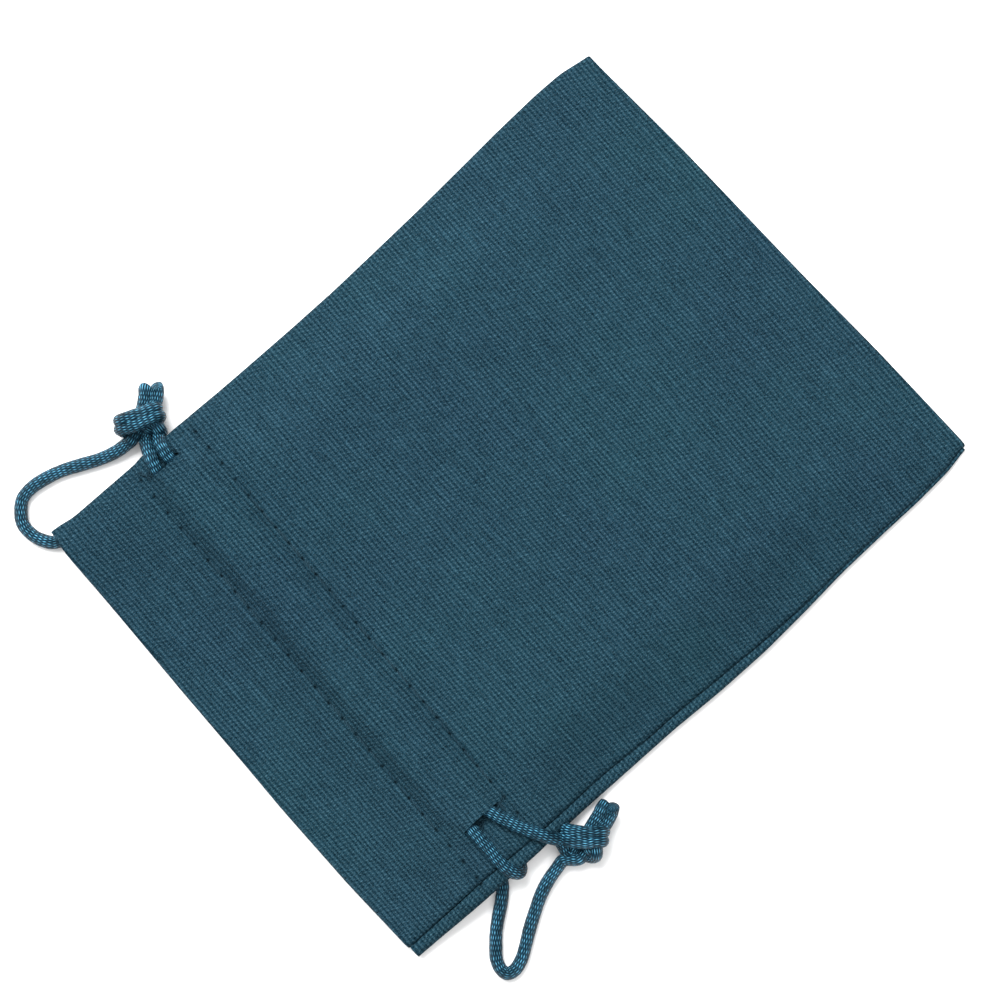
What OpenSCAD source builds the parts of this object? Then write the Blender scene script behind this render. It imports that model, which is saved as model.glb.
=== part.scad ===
// Small drawstring gift pouch of cotton canvas, lying flat and empty on its back.
// One cloth is folded at the bottom, its two ends are turned in as hems, and its sides are sewn.
// Two cords run round the hem's channel, and each is knotted at its own side of the pouch.
// Millimetres, +Z up. The origin is on the table, under the middle of the cloth.
// The mouth is towards -Y and the folded bottom towards +Y.

/* [Cloth] */
// Width of the flat pouch across its middle
pouch_w = 92; // [90:0.5:94]
// Length from the mouth to the folded bottom
pouch_l = 125; // [122:0.5:128]
// Thickness of the canvas
cloth_t = 0.5; // [0.4:0.05:0.6]
// Height of the front cloth's inner face over the middle of the pouch
loft = 5.7; // [5.4:0.1:6.5]

/* [Hem] */
// Length from the mouth to the channel's nearer stitch row
header_len = 18; // [16:0.5:20]
// Distance between the channel's two stitch rows
channel_w = 12; // [11.5:0.5:13]
// Turn of the hem, because the pouch is cut a little out of square
hem_skew = -1.6; // [-2.5:0.1:0]
// Room that the raised hem leaves for a cord beneath it
header_lift = 2.6; // [2.5:0.1:3]

/* [Cord and thread] */
// Diameter of the satin cord
cord_d = 2.2; // [2:0.05:2.3]
// Diameter of the sewing thread
thread_d = 0.3; // [0.2:0.05:0.3]
// Length of one stitch that shows
stitch_len = 2.6; // [2:0.1:3]
// Distance from one stitch to the next
stitch_pitch = 3.43; // [3.2:0.01:4]

/* [Hidden] */

canvas = [0.18, 0.30, 0.36];
canvas_inside = [0.16, 0.27, 0.33];
thread = [0.13, 0.23, 0.28];
satin = [0.22, 0.45, 0.56];

half_w = pouch_w / 2;
fold_y = pouch_l / 2;
mouth_y = -pouch_l / 2;
gap = 0.1;           // between layers of cloth and cord
split_gap = 0.6;     // between the lifting front and its borders
split_x = 33.6;      // half the width of the front that lifts
seam_roll = 2;       // how far the right side seam lies in from the edge
far = 80;            // reaches past the cloth on every side
tall = 20;           // reaches past the pouch's height

// The hem's own frame: its middle line, its stitch rows and its slits
hem_y = mouth_y + header_len + channel_w / 2;
row = channel_w / 2;
left_slit = -42;
right_slit = 36;
slit_half = 1;       // half the gape of a slit
ramp = 2;            // length of the slope where the raised hem meets the lower cloth
dome_in = 1.8;       // distance from a stitch row to the channel's full height

// Heights of the lower faces of the hem's layers, from the table up
back_outer_z = header_lift;
back_facing_z = back_outer_z + cloth_t + gap;
back_channel_z = cloth_t + gap + cord_d + gap;
front_facing_z = back_facing_z + cloth_t + thread_d + 1.5 * gap;
front_outer_z = front_facing_z + cloth_t + gap;
back_cord_z = cloth_t + gap + cord_d / 2;
front_cord_z = front_outer_z + cord_d / 2;
dome_z = front_cord_z + cord_d / 2 + 1.5 * gap;
seam_z = cloth_t + gap + 2 * cloth_t + gap;

// Edges of the cloth from the mouth to the fold as [y, x], the fold from left to right as [x, y], and
// the middle of the mouth
left_edge = [[mouth_y, -half_w - 0.2], [-44, -half_w + 0.6], [-5, -half_w + 0.9],
             [20, -half_w + 0.3], [48, -half_w - 1], [fold_y, -half_w]];
right_edge = [[mouth_y, half_w + 0.4], [-5, half_w + 0.6], [10, half_w + 1], [24, half_w + 0.5],
              [50, half_w - 0.6], [fold_y, half_w - 2.6]];
fold_line = [[-half_w, fold_y - 3.7], [4, fold_y - 1.5], [half_w - 2.6, fold_y]];
mouth_mid = [0, mouth_y + 0.5];

// Height of the front cloth's inner face. Keys run from 0 at the upper stitch row to 1 at the fold:
// along the middle, then along the side seams. Across, the keys are distances from the middle.
loft_along = [[0, front_outer_z], [0.07, loft - 0.2], [0.43, loft], [0.62, loft - 0.8],
              [0.83, 0.55 * loft], [1, cloth_t + gap]];
seam_along = [[0, front_outer_z], [0.09, seam_z], [0.93, seam_z], [1, cloth_t + gap]];
loft_across = [[0, 1], [30, 1], [split_x, 0.9], [half_w - 1, 0]];
front_rows = [0, 0.03, 0.07, 0.12, 0.2, 0.3, 0.43, 0.53, 0.62, 0.72, 0.83, 0.92, 1];

// Routes of the cords, in the pouch's frame. A fourth number is how flat the cord is pressed there.
left_run_y = [-40.2, -41.4];     // the left cord's front run at its left and right ends
right_run_y = [-36.3, -37.5];
left_back_route = [[-34, -39.9, back_cord_z], [-14, -39.9, back_cord_z], [-8, -39.7, 1.1, 0.42],
                   [8, -38.8, 1.1, 0.42], [14, -38.6, back_cord_z], [34, -38.6, back_cord_z]];
right_back_route = [[-34, -36.3, back_cord_z], [-14, -36.5, back_cord_z], [-7, -37.3, 2.3, 0.42],
                    [7, -40.9, 2.3, 0.42], [14, -41.5, back_cord_z], [34, -41.6, back_cord_z]];
left_bridge_route = [[34.4, -41.4, front_cord_z], [35.4, -41.4, 6], [37, -41.3, 6.6],
                     [44.4, -41, 6.6], [46.8, -40.6, 5.8], [48.3, -39.8, 3.8], [48.1, -39.3, 1.9],
                     [46.4, -39, 1.25], [38.2, -38.8, 1.25], [36, -38.7, 1.6], [34.4, -38.6, back_cord_z]];
right_bridge_route = [[-34.4, -36.3, front_cord_z], [-41, -36.3, 5.95], [-43.2, -36.3, 6.55],
                      [-45.2, -36.3, 6.5], [-46.7, -36.3, 5.5], [-47.1, -36.3, 3.8],
                      [-46.8, -36.3, 1.8], [-45.4, -36.3, 1.25], [-42.6, -36.3, 1.3],
                      [-40, -36.3, back_cord_z], [-34.4, -36.3, back_cord_z]];
left_leg_route = [[-34.6, -40.2, 6.2, 0.75], [-38, -40.2, 6.2, 0.75], [-41, -40.1, 6.2, 0.75],
                  [-43.4, -39.7, 6.6], [-46, -39, 6.5], [-48.6, -38.6, 5]];
right_leg_route = [[34.6, -37.5, 6.2, 0.75], [35.4, -37.3, 6.2, 0.75], [37, -36.8, 6.6],
                   [44, -33.7, 6.5], [47.4, -32.2, 5.6], [49.6, -31, 4]];
left_loop_route = [[-34.6, -39.9, 1.6, 0.9], [-40, -39.8, 1.6, 0.9], [-42.8, -40.6, 1.3],
                   [-43.9, -43.5, 1.2], [-43.6, -52, 1.15], [-44.8, -60.7, 1.15], [-48.7, -63.2, 1.15],
                   [-52.9, -61.9, 1.15], [-54.3, -57.8, 1.15], [-53, -52, 1.15],
                   [-50.3, -46.4, 1.15], [-49.9, -41, 1.8]];
right_loop_route = [[34.6, -41.6, 1.6, 0.9], [36.4, -41.7, 1.5, 0.9], [38.4, -41.9, 1.25],
                    [45, -42.6, 1.15], [48.7, -45.3, 1.15], [53.8, -51.2, 1.15], [57.2, -53.2, 1.15],
                    [58.9, -51.6, 1.15], [57.1, -47.5, 1.15], [54.2, -43, 1.15],
                    [51.6, -37.9, 1.15], [50.8, -32.4, 1.5]];

// The two knots: middle, turn and radius of each, how far their egg shape runs past that radius, and
// the length of the cut ends
left_knot_at = [-51.8, -38.6, 2.8];
right_knot_at = [50.9, -27.9, 3.05];
left_knot_turn = 48;
right_knot_turn = 108;
left_knot_r = 2.6;
right_knot_r = 2.9;
knot_half = 1.5;
stub_len = 3.2;

// The hem's frame, turned with the cut of the cloth
module in_hem() translate([0, hem_y, 0]) rotate([0, 0, hem_skew]) children();

// Outline of the flat pouch, drawn in at its right side where the seam is rolled to the front
function outline(draw_in = 0) = concat(
    [for (p = left_edge) [p[1], p[0] == mouth_y ? mouth_y + 2.5 : p[0] == fold_y ? fold_y - 3.7 : p[0]]],
    [fold_line[1]],
    [for (i = [len(right_edge) - 1 : -1 : 0]) [right_edge[i][1] - draw_in, right_edge[i][0]]],
    [mouth_mid]);

module cloth_prism(draw_in = 0) translate([0, 0, -1]) linear_extrude(tall) polygon(outline(draw_in));

// A box in the hem's frame between two corners, cut to the cloth's outline
module hem_slab(low, high, draw_in = 0) intersection() {
    in_hem() translate(low) cube(high - low);
    cloth_prism(draw_in);
}

// A layer of cloth that follows a profile of [y, z] points in the hem's frame
module hem_layer(profile, x0, x1, draw_in = 0) intersection() {
    in_hem() translate([x0, 0, 0]) rotate([90, 0, 90]) linear_extrude(x1 - x0)
        polygon(concat(profile, [for (i = [len(profile) - 1 : -1 : 0]) profile[i] + [0, cloth_t]]));
    cloth_prism(draw_in);
}

// The front cloth over the channel and the header
front_profile = [[row + 0.2, front_outer_z], [row - 0.4, front_outer_z], [row - dome_in - 0.3, dome_z],
                 [dome_in - row + 0.1, dome_z], [-row, front_outer_z], [-2 * header_len, front_outer_z]];
// The back cloth's turned-in end, pressed down at the upper row and lying over the cords
facing_profile = [[row + 1, cloth_t + gap], [row - 0.4, cloth_t + gap], [row - dome_in, back_channel_z],
                  [dome_in - row, back_channel_z], [-row, back_facing_z], [-2 * header_len, back_facing_z]];

// Lower face of the front cloth, at a share of the way from the upper stitch row to the fold
function front_z(x, share) = let (base = lookup(share, seam_along))
    base + (lookup(share, loft_along) - base) * lookup(abs(x), loft_across);

// Front cloth from the upper stitch row to the fold. On a border, the last line follows the edge.
function row_y(x) = hem_y + row * cos(hem_skew) + x * tan(hem_skew);
function edge_x(side, y, draw_in) = side < 0 ? lookup(y, left_edge) : lookup(y, right_edge) - draw_in;
module front_sheet(xs, side = 0, draw_in = 0) {
    nx = len(xs);
    rows = len(front_rows) - 1;
    pts = [for (top = [0, 1], j = [0 : rows], i = [0 : nx - 1])
        let (x_flat = xs[i], y0 = row_y(x_flat), y1 = lookup(x_flat, fold_line),
             y = y0 + (y1 - y0) * front_rows[j],
             x = side != 0 && i == nx - 1 ? edge_x(side, y, draw_in) : x_flat)
        [x, y, front_z(x, front_rows[j]) + top * cloth_t]];
    layer = nx * (rows + 1);
    cells = [for (j = [0 : rows - 1], i = [0 : nx - 2]) j * nx + i];
    rim = concat([for (i = [0 : nx - 2]) i],
                 [for (j = [0 : rows - 1]) j * nx + nx - 1],
                 [for (i = [nx - 1 : -1 : 1]) rows * nx + i],
                 [for (j = [rows : -1 : 1]) j * nx]);
    bottom = [for (c = cells) each [[c, c + 1, c + nx], [c + 1, c + nx + 1, c + nx]]];
    top = [for (f = bottom) [f[2] + layer, f[1] + layer, f[0] + layer]];
    walls = [for (k = [0 : len(rim) - 1]) let (a = rim[k], b = rim[(k + 1) % len(rim)])
        each [[b, a, a + layer], [b, a + layer, b + layer]]];
    shell = concat(bottom, top, walls);
    polyhedron(points = pts, faces = side < 0 ? [for (f = shell) [f[2], f[1], f[0]]] : shell);
}

// A cord: rings of eight points along a route, square to it. ref is a direction that it never takes.
sides = 8;
function unit(v) = v / norm(v);
function at(p) = [p[0], p[1], p[2]];
function heading(route, i) = unit(at(route[min(i + 1, len(route) - 1)]) - at(route[max(i - 1, 0)]));
function ring(route, i, ref) = let (t = heading(route, i), side = unit(cross(t, ref)), up = cross(side, t),
                                    flat = len(route[i]) > 3 ? route[i][3] : 1)
    [for (k = [0 : sides - 1]) let (a = (k + 0.5) * 360 / sides)
        at(route[i]) + cord_d / 2 * (cos(a) * side + sin(a) * flat * up)];
module cord(route, ref = [0, 0, 1]) {
    n = len(route);
    body = [for (i = [0 : n - 2], k = [0 : sides - 1]) let (a = i * sides + k, b = i * sides + (k + 1) % sides)
        each [[a, b, b + sides], [a, b + sides, a + sides]]];
    ends = [[for (k = [sides - 1 : -1 : 0]) k], [for (k = [0 : sides - 1]) (n - 1) * sides + k]];
    color(satin) polyhedron(points = [for (i = [0 : n - 1]) each ring(route, i, ref)],
                            faces = concat(body, ends));
}

// A straight row of stitches from one end to the other, with the thread lying on the cloth
module stitches(from, to) {
    count = floor(norm(to - from) / stitch_pitch);
    turn = atan2(to[1] - from[1], to[0] - from[0]);
    color(thread) for (i = [0 : count - 1])
        translate(from + (to - from) * (i + 0.5) / count) rotate([0, 0, turn]) rotate([0, 90, 0])
            cylinder(d = thread_d, h = stitch_len, center = true, $fn = 24);
}
module hem_stitches(y, z) in_hem() stitches([-split_x + 1, y, z + 0.6 * thread_d], [split_x - 1, y, z + 0.6 * thread_d]);

// The back of the cloth: flat on the table, and raised over whatever runs under the hem
module back_panel() color(canvas) {
    left_lip = left_slit + slit_half;
    right_lip = right_slit - slit_half;
    hem_slab([-far, row + ramp, 0], [far, 2 * far, cloth_t]);
    hem_slab([left_lip, -row + 1, 0], [right_lip, row + ramp, cloth_t]);
    hem_layer([[-row + 1, 0], [-row + 1 - ramp, back_outer_z]], left_lip, right_lip);
    hem_slab([-far, -2 * header_len, back_outer_z], [far, -row + 1 - ramp, back_outer_z + cloth_t]);
    for (x = [[-far, left_slit - slit_half], [right_slit + slit_half, far]]) {
        hem_slab([x[0], -row + 1 - ramp, back_outer_z], [x[1], row, back_outer_z + cloth_t]);
        hem_layer([[row + ramp, 0], [row, back_outer_z]], x[0], x[1]);
    }
}

module back_hem_facing() color(canvas_inside) {
    hem_layer(facing_profile, left_slit, right_slit);
    for (x = [[-far, left_slit], [right_slit, far]])
        hem_slab([x[0], -2 * header_len, back_facing_z], [x[1], row, back_facing_z + cloth_t]);
}

// The strip of the front between a slit and its side seam, with its own turned-in end
module front_border(side, slit, draw_in) color(canvas) {
    inner = side * (split_x + split_gap);
    lip = slit - side * slit_half;
    outer = slit + side * slit_half;
    front_sheet([inner, side * 38, side * 42, side * (half_w - 1)], side, draw_in);
    hem_layer(front_profile, min(inner, lip), max(inner, lip), draw_in);
    hem_slab([side < 0 ? -far : inner, -2 * header_len, front_outer_z],
             [side < 0 ? inner : far, -row, front_outer_z + cloth_t], draw_in);
    hem_slab([side < 0 ? -far : outer, -row, front_outer_z],
             [side < 0 ? outer : far, row + 0.2, front_outer_z + cloth_t], draw_in);
    hem_slab([side < 0 ? -far : inner, -2 * header_len, front_facing_z],
             [side < 0 ? inner : far, row - 0.5, front_facing_z + cloth_t], draw_in);
}
module left_front_border() front_border(-1, left_slit, 0);
module right_front_border() front_border(1, right_slit, seam_roll);

// The two raw edges that lie inside each side seam, and the seam's thread on them
seam_from = -22;
seam_to = 45;
module seam_allowance(side) color(canvas_inside)
    translate([side < 0 ? -half_w + 1.2 : half_w - 8.2, seam_from, cloth_t + gap])
        cube([7, seam_to - seam_from, 2 * cloth_t]);
module left_seam_allowance() seam_allowance(-1);
module right_seam_allowance() seam_allowance(1);
module seam_thread(side) let (x = side * (half_w - 5), z = cloth_t + gap + 2 * cloth_t + 0.6 * thread_d)
    stitches([x, seam_from + 1, z], [x, seam_to - 1, z]);
module left_seam_thread() seam_thread(-1);
module right_seam_thread() seam_thread(1);

module back_upper_stitch_row() hem_stitches(row, 2 * cloth_t + gap);
module back_lower_stitch_row() hem_stitches(-row - 0.2, back_facing_z + cloth_t);
module front_upper_stitch_row() hem_stitches(row - 0.1, front_outer_z + cloth_t);
module front_lower_stitch_row() hem_stitches(-row - 0.2, front_outer_z + cloth_t);

module front_panel() color(canvas) {
    front_sheet([-split_x, -30, -15, 0, 15, 30, split_x]);
    hem_layer(front_profile, -split_x, split_x);
}
module front_hem_facing() color(canvas_inside)
    hem_slab([-split_x, -2 * header_len, front_facing_z], [split_x, row - 0.5, front_facing_z + cloth_t]);

module left_cord_back_run() cord(left_back_route);
module right_cord_back_run() cord(right_back_route);
module left_cord_bridge() cord(left_bridge_route, [0, 1, 0]);
module right_cord_bridge() cord(right_bridge_route, [0, 1, 0]);
module left_cord_front_run() cord([[-33.5, left_run_y[0], front_cord_z], [33.5, left_run_y[1], front_cord_z]]);
module right_cord_front_run() cord([[-33.5, right_run_y[0], front_cord_z], [33.5, right_run_y[1], front_cord_z]]);
module left_cord_front_leg() cord(left_leg_route);
module right_cord_front_leg() cord(right_leg_route);
module left_cord_loop() cord(left_loop_route);
module right_cord_loop() cord(right_loop_route);

// An overhand knot tied in both ends of a cord, as an egg shape with the two short cut ends
egg_steps = 10;
function egg_point(r, i) = i == 0 || i == egg_steps
    ? [0, (i == 0 ? -1 : 1) * (r + knot_half)]
    : [r * sin(180 * i / egg_steps), -(r + knot_half) * cos(180 * i / egg_steps)];
module knot(place, turn, r, stub_turn) color(satin) translate(place) {
    rotate([0, 0, turn]) rotate([0, 90, 0])
        rotate_extrude($fn = 48) polygon([for (i = [0 : egg_steps]) egg_point(r, i)]);
    for (s = [-1, 1]) rotate([0, 0, stub_turn]) translate([r - 0.9, s * (cord_d / 2 + 0.05), 0])
        rotate([0, 90, 0]) cylinder(d = cord_d, h = stub_len, $fn = 32);
}
module left_knot() knot(left_knot_at, left_knot_turn, left_knot_r, 132);
module right_knot() knot(right_knot_at, right_knot_turn, right_knot_r, 104);

back_panel();
back_hem_facing();
left_front_border();
right_front_border();
left_seam_allowance();
right_seam_allowance();
left_seam_thread();
right_seam_thread();
back_upper_stitch_row();
back_lower_stitch_row();
left_cord_back_run();
right_cord_back_run();
left_cord_bridge();
right_cord_bridge();
front_panel();
front_hem_facing();
front_upper_stitch_row();
front_lower_stitch_row();
left_cord_front_run();
right_cord_front_run();
left_cord_front_leg();
left_cord_loop();
left_knot();
right_cord_front_leg();
right_cord_loop();
right_knot();
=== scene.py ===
# Looks of the drawstring gift pouch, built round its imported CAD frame.
# Lengths are in mm in the frame of the CAD model, and become metres where meshes are made.
import math
import random

import bpy
import numpy as np
from mathutils import Matrix, Vector


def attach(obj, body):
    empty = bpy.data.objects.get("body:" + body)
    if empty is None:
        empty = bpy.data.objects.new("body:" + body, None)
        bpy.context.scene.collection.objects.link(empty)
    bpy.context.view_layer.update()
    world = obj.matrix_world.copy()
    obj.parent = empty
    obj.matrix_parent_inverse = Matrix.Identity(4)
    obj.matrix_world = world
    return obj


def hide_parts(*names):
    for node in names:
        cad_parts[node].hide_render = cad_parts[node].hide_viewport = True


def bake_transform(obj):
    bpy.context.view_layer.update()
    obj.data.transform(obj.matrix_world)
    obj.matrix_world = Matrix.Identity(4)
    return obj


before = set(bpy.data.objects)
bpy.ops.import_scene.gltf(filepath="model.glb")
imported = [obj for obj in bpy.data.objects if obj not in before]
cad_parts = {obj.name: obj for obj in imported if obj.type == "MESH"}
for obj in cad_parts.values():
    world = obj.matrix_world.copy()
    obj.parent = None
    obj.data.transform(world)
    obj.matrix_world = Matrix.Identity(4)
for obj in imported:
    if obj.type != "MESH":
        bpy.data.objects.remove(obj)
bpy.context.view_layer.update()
scene = bpy.context.scene
MM = 0.001


# ---- camera

VIEW_RIGHT = Vector((0.6665, 0.7455, 0))
VIEW_UP = Vector((-0.7455, 0.6665, 0))
CAMERA_AT = Vector((-0.46, -1.75, 467)) * MM  # straight above the pouch

camera_data = bpy.data.cameras.new("camera")
camera_data.lens = 100
camera_data.sensor_width = 36
camera = bpy.data.objects.new("camera", camera_data)
scene.collection.objects.link(camera)
turn = Matrix((VIEW_RIGHT, VIEW_UP, Vector((0, 0, 1)))).transposed().to_4x4()
camera.matrix_world = Matrix.Translation(CAMERA_AT) @ turn
scene.camera = camera


# ---- curves and helpers

def smoothstep(t):
    t = np.clip(t, 0, 1)
    return t * t * (3 - 2 * t)


def smooth_table(keys, blur):
    """A function through (place, value) keys whose corners are rounded over about blur mm."""
    keys = np.array(keys, float)
    step = 0.25
    place = np.arange(keys[0, 0] - 30, keys[-1, 0] + 30, step)
    value = np.interp(place, keys[:, 0], keys[:, 1])
    reach = np.arange(-math.ceil(4 * blur / step), math.ceil(4 * blur / step) + 1) * step
    weight = np.exp(-0.5 * (reach / blur) ** 2)
    padded = np.pad(value, len(reach) // 2, mode="edge")
    value = np.convolve(padded, weight / weight.sum(), "valid")
    return lambda where: np.interp(where, place, value)


def spline(points, step):
    """A Catmull-Rom curve through the points, in even steps."""
    p = np.array(points, float)
    p = np.vstack([2 * p[0] - p[1], p, 2 * p[-1] - p[-2]])
    t = np.linspace(0, 1, 24, endpoint=False)[:, None]
    parts = []
    for a, b, c, d in zip(p[:-3], p[1:-2], p[2:-1], p[3:]):
        parts.append(0.5 * (2 * b + (c - a) * t + (2 * a - 5 * b + 4 * c - d) * t ** 2
                            + (3 * b - a - 3 * c + d) * t ** 3))
    fine = np.vstack(parts + [p[-2:-1]])
    along = np.r_[0, np.cumsum(np.linalg.norm(np.diff(fine, axis=0), axis=1))]
    count = max(2, int(round(along[-1] / step)) + 1)
    even = np.linspace(0, along[-1], count)
    return np.stack([np.interp(even, along, fine[:, k]) for k in range(3)], 1)


def make_object(name, points, faces, uv, material, sharp=()):
    """A smooth mesh object in metres, with its cloth or cord coordinates in the UV map lay."""
    mesh = bpy.data.meshes.new(name)
    mesh.from_pydata((np.asarray(points) * MM).tolist(), [], faces)
    mesh.polygons.foreach_set("use_smooth", [True] * len(mesh.polygons))
    if len(sharp):
        wanted = {tuple(sorted(e)) for e in sharp}
        marks = [tuple(sorted(e.vertices)) in wanted for e in mesh.edges]
        mesh.attributes.new("sharp_edge", "BOOLEAN", "EDGE").data.foreach_set("value", marks)
    layer = mesh.uv_layers.new(name="lay")
    loops = np.zeros(len(mesh.loops), np.int32)
    mesh.loops.foreach_get("vertex_index", loops)
    layer.data.foreach_set("uv", np.asarray(uv, np.float32)[loops].ravel())
    mesh.materials.append(material)
    mesh.validate()
    piece = bpy.data.objects.new(name, mesh)
    scene.collection.objects.link(piece)
    return piece


# ---- materials

def operation(name, swapped=False):
    """A method that makes a math node of a Number and what it is reckoned with."""
    def apply(self, *other):
        return self.shader.math(name, *((*other, self) if swapped else (self, *other)))
    return apply


class Number:
    """A number in a material's nodes that is reckoned with like any other."""

    def __init__(self, shader, socket):
        self.shader = shader
        self.socket = socket

    __add__ = __radd__ = operation("ADD")
    __sub__ = operation("SUBTRACT")
    __rsub__ = operation("SUBTRACT", swapped=True)
    __mul__ = __rmul__ = operation("MULTIPLY")
    __truediv__ = operation("DIVIDE")
    __pow__ = operation("POWER")
    __abs__ = operation("ABSOLUTE")
    __floor__ = operation("FLOOR")


class Shader:
    """A material with short calls for its nodes."""

    def __init__(self, name):
        self.material = bpy.data.materials.new(name)
        self.material.use_nodes = True
        self.nodes = self.material.node_tree.nodes
        self.links = self.material.node_tree.links
        self.surface = self.nodes["Principled BSDF"]

    def node(self, kind, **inputs):
        """A new node of a kind, with its inputs given by name."""
        node = self.nodes.new("ShaderNode" + kind)
        for name, value in inputs.items():
            self.put(node.inputs[name], value)
        return node

    def put(self, socket, value):
        if isinstance(value, Number):
            self.links.new(value.socket, socket)
        elif isinstance(value, bpy.types.NodeSocket):
            self.links.new(value, socket)
        else:
            socket.default_value = value

    def math(self, operation, *values):
        node = self.node("Math")
        node.operation = operation
        for socket, value in zip(node.inputs, values):
            self.put(socket, value)
        return Number(self, node.outputs[0])

    def hump(self, share):
        """A round hump over each whole step of share."""
        return self.math("SINE", self.math("FRACT", share) * math.pi)

    def lay(self):
        """The cloth or cord coordinates of the UV map lay."""
        node = self.node("UVMap")
        node.uv_map = "lay"
        split = self.node("SeparateXYZ", Vector=node.outputs[0])
        return Number(self, split.outputs[0]), Number(self, split.outputs[1])

    def vector(self, x, y, z=0.0):
        return self.node("CombineXYZ", X=x, Y=y, Z=z).outputs[0]

    def noise(self, vector, scale, detail=2.0):
        """Soft noise about 0, mostly from -0.5 to 0.5."""
        node = self.node("TexNoise", Vector=vector, Scale=scale, Detail=detail, Roughness=0.5)
        return (Number(self, node.outputs["Fac"]) - 0.5) * 2.0

    def speckle(self, vector):
        """White noise about 0, from -0.5 to 0.5."""
        return Number(self, self.node("TexWhiteNoise", Vector=vector).outputs["Value"]) - 0.5

    def ramp(self, value, stops):
        node = self.node("ValToRGB", Fac=value)
        elements = node.color_ramp.elements
        while len(elements) < len(stops):
            elements.new(0.5)
        for element, (place, colour) in zip(elements, stops):
            element.position = place
            element.color = (*colour, 1)
        return node.outputs["Color"]

    def filtered(self, colour, tint, share):
        """A colour multiplied by a tint, as far as share says."""
        node = self.node("Mix")
        node.data_type = "RGBA"
        node.blend_type = "MULTIPLY"
        for name, value in (("Factor", share), ("A", colour), ("B", tint)):
            self.put(node.inputs[name], value)
        return node.outputs["Result"]

    def brightened(self, colour, gain):
        node = self.node("VectorMath")
        node.operation = "SCALE"
        self.put(node.inputs[0], colour)
        self.put(node.inputs["Scale"], gain)
        return node.outputs[0]

    def bump(self, height, distance):
        node = self.node("Bump", Height=height, Distance=distance, Strength=1.0)
        self.links.new(node.outputs[0], self.surface.inputs["Normal"])

    def finish(self, colour, roughness, **fixed):
        self.put(self.surface.inputs["Base Color"], colour)
        self.put(self.surface.inputs["Roughness"], roughness)
        for name, value in fixed.items():
            self.surface.inputs[name.replace("_", " ")].default_value = value
        return self.material


HEM_Y = -38.5  # the hem channel's middle line, where it crosses the pouch's
SKEW = math.radians(-1.6)  # how far out of square the hem is sewn
ROW = 6  # from the hem's middle line to each stitched row
STITCH_PITCH = 3.43
WARP_PITCH = 0.358
WEFT_PITCH = 0.744
UV_SCALE = 100  # mm to one unit of the UV map lay
NEEDLE_HOLE_R = 0.55  # of the dark dot where a stitch goes down
ROW_SHADE_W = 0.8  # of the shade along a stitched row, to each side
WEAVE_BUMP = 0.00012  # metres
# The cloth's colour from the gaps between its yarns to their tops: painted shade in the gaps, and painted
# light on the tops.
CANVAS_SHADE_AND_LIGHT_COLOURS = ((0.0, (0.0020, 0.0100, 0.0180)), (0.4, (0.0060, 0.0210, 0.0335)),
                  (0.7, (0.0125, 0.0335, 0.0500)), (1.0, (0.0270, 0.0590, 0.0810)))


def weave(s, x, y):
    """The plain weave's height at a place on the cloth, and the numbers of the warp and weft yarns there."""
    warp = (x + 0.42 * s.noise(s.vector(x, y), 0.30)) / WARP_PITCH
    weft = (y + 0.30 * s.noise(s.vector(x * 0.5, y, 7.0), 0.27)) / WEFT_PITCH
    warp_number = math.floor(warp)
    weft_number = math.floor(weft)
    between = weft + 0.5
    between_number = math.floor(between)
    pair = 0.5 * warp + 0.5 * between_number
    each_gap = s.speckle(s.vector(math.floor(pair), between_number, 2.0))
    gap = s.hump(between) ** 1.8 * s.hump(pair) ** 2.2 * (1 + 0.7 * each_gap)
    under = s.math("PINGPONG", warp_number + weft_number, 1.0)
    grain = s.hump(weft) ** 0.6 * (0.5 + 0.5 * s.hump(warp)) * (1 - 0.25 * under)
    return 0.35 + 0.65 * grain - 0.32 * gap, warp_number, weft_number


def hem_shade(s, x, y):
    """The share of its light that the cloth loses at the needle holes and along the stitched rows."""
    from_middle = abs((y - HEM_Y) * math.cos(SKEW) - x * math.sin(SKEW))
    from_row = abs(from_middle - ROW)
    from_hole = abs(s.math("FRACT", (x + 40 * STITCH_PITCH) / STITCH_PITCH) - 0.5) * STITCH_PITCH
    from_dot = s.math("SQRT", from_row * from_row + from_hole * from_hole)
    in_dot = 1 - s.math("MINIMUM", from_dot / NEEDLE_HOLE_R, 1.0)
    on_row = 1 - s.math("MINIMUM", from_row / ROW_SHADE_W, 1.0)
    return 0.85 * in_dot + 0.16 * on_row


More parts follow.
